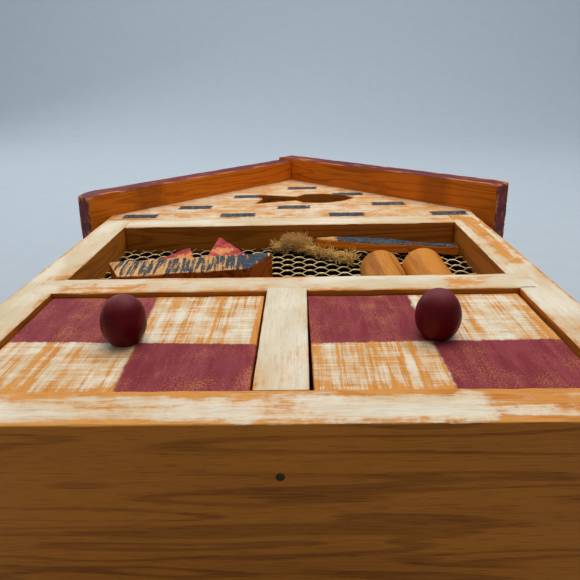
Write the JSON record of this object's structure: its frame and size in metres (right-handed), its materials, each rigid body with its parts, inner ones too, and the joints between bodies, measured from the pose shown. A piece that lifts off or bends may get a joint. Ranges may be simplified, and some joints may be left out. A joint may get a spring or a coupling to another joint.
{
  "type": "house-shaped wall cabinet",
  "caption": "House-shaped wooden wall cabinet lying on its back: drawers under a shallow display recess, and a pitched roof over a gable with a fish-shaped hole.",
  "frame": {"origin": "centre of the cabinet's outline, on the plane that its back rests on", "axes": "+X to the cabinet's right, +Y from its foot to its roof ridge, +Z out of its front; it lies on its back"},
  "size_m": [0.3106, 0.4132, 0.1155],
  "materials": {
    "cream_paint": "worn chalky paint over wood",
    "bare_wood": "oiled",
    "roof_wood": "oiled, burgundy paint on the edges",
    "plywood": "raw",
    "mesh_brass": "dull",
    "checked_paint": "worn burgundy and cream paint",
    "burgundy_paint": "satin paint",
    "steel": "dull",
    "blue_paint": "worn paint",
    "red_paint": "worn paint",
    "post_wood": "raw, deep grain",
    "jute": "frayed"
  },
  "bodies": {
    "cabinet": {"left_side": "cream_paint", "right_side": "cream_paint", "bottom_board": "cream_paint", "shelf_board": "cream_paint", "center_divider": "cream_paint", "top_board": "cream_paint", "gable_board": "cream_paint", "rear_gable_board": "bare_wood", "left_roof_board": "roof_wood", "right_roof_board": "roof_wood", "back_panel": "plywood", "wire_mesh": "mesh_brass", "boat_hull": "blue_paint", "jib_sail": "red_paint", "main_sail": "red_paint", "fish_cutout": "blue_paint", "left_post": "post_wood", "right_post": "post_wood", "jute_strand": "jute", "jute_tuft": "jute", "side_nails": "steel", "bottom_nails": "steel", "roof_nails": "steel", "back_brads": "steel"},
    "left_drawer": {"left_drawer_front": "checked_paint", "left_drawer_left_side": "plywood", "left_drawer_right_side": "plywood", "left_drawer_back": "plywood", "left_drawer_bottom": "plywood", "left_knob": "burgundy_paint", "left_knob_screw": "steel"},
    "right_drawer": {"right_drawer_front": "checked_paint", "right_drawer_left_side": "plywood", "right_drawer_right_side": "plywood", "right_drawer_back": "plywood", "right_drawer_bottom": "plywood", "right_knob": "burgundy_paint", "right_knob_screw": "steel"}
  },
  "joints": [
    {"name": "left_drawer_slide", "type": "slide", "parent": "cabinet", "child": "left_drawer", "axis": [0, 0, 1], "range_m": [0, 0.07]},
    {"name": "right_drawer_slide", "type": "slide", "parent": "cabinet", "child": "right_drawer", "axis": [0, 0, 1], "range_m": [0, 0.07]}
  ]
}
